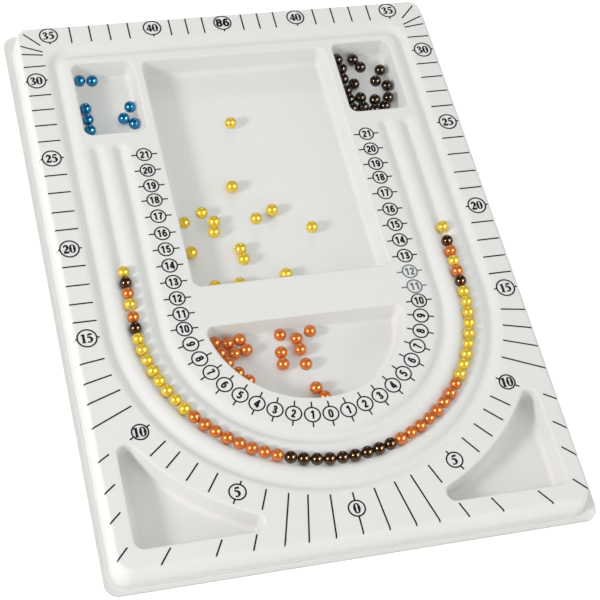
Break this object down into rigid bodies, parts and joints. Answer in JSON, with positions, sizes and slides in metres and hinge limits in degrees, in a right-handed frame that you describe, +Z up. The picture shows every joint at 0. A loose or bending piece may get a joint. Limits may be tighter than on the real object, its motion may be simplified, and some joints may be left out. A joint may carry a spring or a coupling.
{
  "type": "bead board",
  "caption": "Moulded white tray for laying out strings of beads, with U-shaped grooves, sunk compartments and loose round beads in a groove and in the trays.",
  "frame": {"origin": "middle of the board's base, on the surface it lies on", "axes": "+X across the board, +Y towards its head with the square trays, +Z up"},
  "size_m": [0.2238, 0.3052, 0.0175],
  "materials": {
    "tray_sheet": "fine matt grain",
    "bead_blue": "pearl",
    "bead_yellow": "pearl",
    "bead_orange": "pearl",
    "bead_brown": "pearl"
  },
  "bodies": {
    "tray": {"tray": "tray_sheet"},
    "row_bead_01": {"row_bead_01": "bead_yellow"},
    "row_bead_02": {"row_bead_02": "bead_brown"},
    "row_bead_03": {"row_bead_03": "bead_orange"},
    "row_bead_04": {"row_bead_04": "bead_yellow"},
    "row_bead_05": {"row_bead_05": "bead_orange"},
    "row_bead_06": {"row_bead_06": "bead_brown"},
    "row_bead_07": {"row_bead_07": "bead_yellow"},
    "row_bead_08": {"row_bead_08": "bead_yellow"},
    "row_bead_09": {"row_bead_09": "bead_yellow"},
    "row_bead_10": {"row_bead_10": "bead_yellow"},
    "row_bead_11": {"row_bead_11": "bead_yellow"},
    "row_bead_12": {"row_bead_12": "bead_yellow"},
    "row_bead_13": {"row_bead_13": "bead_yellow"},
    "row_bead_14": {"row_bead_14": "bead_yellow"},
    "row_bead_15": {"row_bead_15": "bead_orange"},
    "row_bead_16": {"row_bead_16": "bead_orange"},
    "row_bead_17": {"row_bead_17": "bead_orange"},
    "row_bead_18": {"row_bead_18": "bead_orange"},
    "row_bead_19": {"row_bead_19": "bead_orange"},
    "row_bead_20": {"row_bead_20": "bead_orange"},
    "row_bead_21": {"row_bead_21": "bead_orange"},
    "row_bead_22": {"row_bead_22": "bead_orange"},
    "row_bead_23": {"row_bead_23": "bead_brown"},
    "row_bead_24": {"row_bead_24": "bead_brown"},
    "row_bead_25": {"row_bead_25": "bead_brown"},
    "row_bead_26": {"row_bead_26": "bead_brown"},
    "row_bead_27": {"row_bead_27": "bead_brown"},
    "row_bead_28": {"row_bead_28": "bead_brown"},
    "row_bead_29": {"row_bead_29": "bead_brown"},
    "row_bead_30": {"row_bead_30": "bead_brown"},
    "row_bead_31": {"row_bead_31": "bead_brown"},
    "row_bead_32": {"row_bead_32": "bead_orange"},
    "row_bead_33": {"row_bead_33": "bead_orange"},
    "row_bead_34": {"row_bead_34": "bead_orange"},
    "row_bead_35": {"row_bead_35": "bead_orange"},
    "row_bead_36": {"row_bead_36": "bead_orange"},
    "row_bead_37": {"row_bead_37": "bead_orange"},
    "row_bead_38": {"row_bead_38": "bead_orange"},
    "row_bead_39": {"row_bead_39": "bead_orange"},
    "row_bead_40": {"row_bead_40": "bead_yellow"},
    "row_bead_41": {"row_bead_41": "bead_yellow"},
    "row_bead_42": {"row_bead_42": "bead_yellow"},
    "row_bead_43": {"row_bead_43": "bead_yellow"},
    "row_bead_44": {"row_bead_44": "bead_yellow"},
    "row_bead_45": {"row_bead_45": "bead_yellow"},
    "row_bead_46": {"row_bead_46": "bead_yellow"},
    "row_bead_47": {"row_bead_47": "bead_yellow"},
    "row_bead_48": {"row_bead_48": "bead_yellow"},
    "row_bead_49": {"row_bead_49": "bead_brown"},
    "row_bead_50": {"row_bead_50": "bead_orange"},
    "row_bead_51": {"row_bead_51": "bead_yellow"},
    "row_bead_52": {"row_bead_52": "bead_orange"},
    "row_bead_53": {"row_bead_53": "bead_brown"},
    "row_bead_54": {"row_bead_54": "bead_yellow"},
    "stock_bead_blue": {"stock_bead_blue": "bead_blue"},
    "stock_bead_brown": {"stock_bead_brown": "bead_brown"},
    "stock_bead_yellow": {"stock_bead_yellow": "bead_yellow"},
    "stock_bead_orange_1": {"stock_bead_orange_1": "bead_orange"},
    "stock_bead_orange_2": {"stock_bead_orange_2": "bead_orange"}
  },
  "joints": [
    {"name": "row_bead_01_lift", "type": "slide", "parent": "tray", "child": "row_bead_01", "axis": [0, 0, 1], "range_m": [0, 0.03]},
    {"name": "row_bead_02_lift", "type": "slide", "parent": "tray", "child": "row_bead_02", "axis": [0, 0, 1], "range_m": [0, 0.03]},
    {"name": "row_bead_03_lift", "type": "slide", "parent": "tray", "child": "row_bead_03", "axis": [0, 0, 1], "range_m": [0, 0.03]},
    {"name": "row_bead_04_lift", "type": "slide", "parent": "tray", "child": "row_bead_04", "axis": [0, 0, 1], "range_m": [0, 0.03]},
    {"name": "row_bead_05_lift", "type": "slide", "parent": "tray", "child": "row_bead_05", "axis": [0, 0, 1], "range_m": [0, 0.03]},
    {"name": "row_bead_06_lift", "type": "slide", "parent": "tray", "child": "row_bead_06", "axis": [0, 0, 1], "range_m": [0, 0.03]},
    {"name": "row_bead_07_lift", "type": "slide", "parent": "tray", "child": "row_bead_07", "axis": [0, 0, 1], "range_m": [0, 0.03]},
    {"name": "row_bead_08_lift", "type": "slide", "parent": "tray", "child": "row_bead_08", "axis": [0, 0, 1], "range_m": [0, 0.03]},
    {"name": "row_bead_09_lift", "type": "slide", "parent": "tray", "child": "row_bead_09", "axis": [0, 0, 1], "range_m": [0, 0.03]},
    {"name": "row_bead_10_lift", "type": "slide", "parent": "tray", "child": "row_bead_10", "axis": [0, 0, 1], "range_m": [0, 0.03]},
    {"name": "row_bead_11_lift", "type": "slide", "parent": "tray", "child": "row_bead_11", "axis": [0, 0, 1], "range_m": [0, 0.03]},
    {"name": "row_bead_12_lift", "type": "slide", "parent": "tray", "child": "row_bead_12", "axis": [0, 0, 1], "range_m": [0, 0.03]},
    {"name": "row_bead_13_lift", "type": "slide", "parent": "tray", "child": "row_bead_13", "axis": [0, 0, 1], "range_m": [0, 0.03]},
    {"name": "row_bead_14_lift", "type": "slide", "parent": "tray", "child": "row_bead_14", "axis": [0, 0, 1], "range_m": [0, 0.03]},
    {"name": "row_bead_15_lift", "type": "slide", "parent": "tray", "child": "row_bead_15", "axis": [0, 0, 1], "range_m": [0, 0.03]},
    {"name": "row_bead_16_lift", "type": "slide", "parent": "tray", "child": "row_bead_16", "axis": [0, 0, 1], "range_m": [0, 0.03]},
    {"name": "row_bead_17_lift", "type": "slide", "parent": "tray", "child": "row_bead_17", "axis": [0, 0, 1], "range_m": [0, 0.03]},
    {"name": "row_bead_18_lift", "type": "slide", "parent": "tray", "child": "row_bead_18", "axis": [0, 0, 1], "range_m": [0, 0.03]},
    {"name": "row_bead_19_lift", "type": "slide", "parent": "tray", "child": "row_bead_19", "axis": [0, 0, 1], "range_m": [0, 0.03]},
    {"name": "row_bead_20_lift", "type": "slide", "parent": "tray", "child": "row_bead_20", "axis": [0, 0, 1], "range_m": [0, 0.03]},
    {"name": "row_bead_21_lift", "type": "slide", "parent": "tray", "child": "row_bead_21", "axis": [0, 0, 1], "range_m": [0, 0.03]},
    {"name": "row_bead_22_lift", "type": "slide", "parent": "tray", "child": "row_bead_22", "axis": [0, 0, 1], "range_m": [0, 0.03]},
    {"name": "row_bead_23_lift", "type": "slide", "parent": "tray", "child": "row_bead_23", "axis": [0, 0, 1], "range_m": [0, 0.03]},
    {"name": "row_bead_24_lift", "type": "slide", "parent": "tray", "child": "row_bead_24", "axis": [0, 0, 1], "range_m": [0, 0.03]},
    {"name": "row_bead_25_lift", "type": "slide", "parent": "tray", "child": "row_bead_25", "axis": [0, 0, 1], "range_m": [0, 0.03]},
    {"name": "row_bead_26_lift", "type": "slide", "parent": "tray", "child": "row_bead_26", "axis": [0, 0, 1], "range_m": [0, 0.03]},
    {"name": "row_bead_27_lift", "type": "slide", "parent": "tray", "child": "row_bead_27", "axis": [0, 0, 1], "range_m": [0, 0.03]},
    {"name": "row_bead_28_lift", "type": "slide", "parent": "tray", "child": "row_bead_28", "axis": [0, 0, 1], "range_m": [0, 0.03]},
    {"name": "row_bead_29_lift", "type": "slide", "parent": "tray", "child": "row_bead_29", "axis": [0, 0, 1], "range_m": [0, 0.03]},
    {"name": "row_bead_30_lift", "type": "slide", "parent": "tray", "child": "row_bead_30", "axis": [0, 0, 1], "range_m": [0, 0.03]},
    {"name": "row_bead_31_lift", "type": "slide", "parent": "tray", "child": "row_bead_31", "axis": [0, 0, 1], "range_m": [0, 0.03]},
    {"name": "row_bead_32_lift", "type": "slide", "parent": "tray", "child": "row_bead_32", "axis": [0, 0, 1], "range_m": [0, 0.03]},
    {"name": "row_bead_33_lift", "type": "slide", "parent": "tray", "child": "row_bead_33", "axis": [0, 0, 1], "range_m": [0, 0.03]},
    {"name": "row_bead_34_lift", "type": "slide", "parent": "tray", "child": "row_bead_34", "axis": [0, 0, 1], "range_m": [0, 0.03]},
    {"name": "row_bead_35_lift", "type": "slide", "parent": "tray", "child": "row_bead_35", "axis": [0, 0, 1], "range_m": [0, 0.03]},
    {"name": "row_bead_36_lift", "type": "slide", "parent": "tray", "child": "row_bead_36", "axis": [0, 0, 1], "range_m": [0, 0.03]},
    {"name": "row_bead_37_lift", "type": "slide", "parent": "tray", "child": "row_bead_37", "axis": [0, 0, 1], "range_m": [0, 0.03]},
    {"name": "row_bead_38_lift", "type": "slide", "parent": "tray", "child": "row_bead_38", "axis": [0, 0, 1], "range_m": [0, 0.03]},
    {"name": "row_bead_39_lift", "type": "slide", "parent": "tray", "child": "row_bead_39", "axis": [0, 0, 1], "range_m": [0, 0.03]},
    {"name": "row_bead_40_lift", "type": "slide", "parent": "tray", "child": "row_bead_40", "axis": [0, 0, 1], "range_m": [0, 0.03]},
    {"name": "row_bead_41_lift", "type": "slide", "parent": "tray", "child": "row_bead_41", "axis": [0, 0, 1], "range_m": [0, 0.03]},
    {"name": "row_bead_42_lift", "type": "slide", "parent": "tray", "child": "row_bead_42", "axis": [0, 0, 1], "range_m": [0, 0.03]},
    {"name": "row_bead_43_lift", "type": "slide", "parent": "tray", "child": "row_bead_43", "axis": [0, 0, 1], "range_m": [0, 0.03]},
    {"name": "row_bead_44_lift", "type": "slide", "parent": "tray", "child": "row_bead_44", "axis": [0, 0, 1], "range_m": [0, 0.03]},
    {"name": "row_bead_45_lift", "type": "slide", "parent": "tray", "child": "row_bead_45", "axis": [0, 0, 1], "range_m": [0, 0.03]},
    {"name": "row_bead_46_lift", "type": "slide", "parent": "tray", "child": "row_bead_46", "axis": [0, 0, 1], "range_m": [0, 0.03]},
    {"name": "row_bead_47_lift", "type": "slide", "parent": "tray", "child": "row_bead_47", "axis": [0, 0, 1], "range_m": [0, 0.03]},
    {"name": "row_bead_48_lift", "type": "slide", "parent": "tray", "child": "row_bead_48", "axis": [0, 0, 1], "range_m": [0, 0.03]},
    {"name": "row_bead_49_lift", "type": "slide", "parent": "tray", "child": "row_bead_49", "axis": [0, 0, 1], "range_m": [0, 0.03]},
    {"name": "row_bead_50_lift", "type": "slide", "parent": "tray", "child": "row_bead_50", "axis": [0, 0, 1], "range_m": [0, 0.03]},
    {"name": "row_bead_51_lift", "type": "slide", "parent": "tray", "child": "row_bead_51", "axis": [0, 0, 1], "range_m": [0, 0.03]},
    {"name": "row_bead_52_lift", "type": "slide", "parent": "tray", "child": "row_bead_52", "axis": [0, 0, 1], "range_m": [0, 0.03]},
    {"name": "row_bead_53_lift", "type": "slide", "parent": "tray", "child": "row_bead_53", "axis": [0, 0, 1], "range_m": [0, 0.03]},
    {"name": "row_bead_54_lift", "type": "slide", "parent": "tray", "child": "row_bead_54", "axis": [0, 0, 1], "range_m": [0, 0.03]},
    {"name": "stock_bead_blue_lift", "type": "slide", "parent": "tray", "child": "stock_bead_blue", "axis": [0, 0, 1], "range_m": [0, 0.03]},
    {"name": "stock_bead_brown_lift", "type": "slide", "parent": "tray", "child": "stock_bead_brown", "axis": [0, 0, 1], "range_m": [0, 0.03]},
    {"name": "stock_bead_yellow_lift", "type": "slide", "parent": "tray", "child": "stock_bead_yellow", "axis": [0, 0, 1], "range_m": [0, 0.03]},
    {"name": "stock_bead_orange_1_lift", "type": "slide", "parent": "tray", "child": "stock_bead_orange_1", "axis": [0, 0, 1], "range_m": [0, 0.03]},
    {"name": "stock_bead_orange_2_lift", "type": "slide", "parent": "tray", "child": "stock_bead_orange_2", "axis": [0, 0, 1], "range_m": [0, 0.03]}
  ]
}
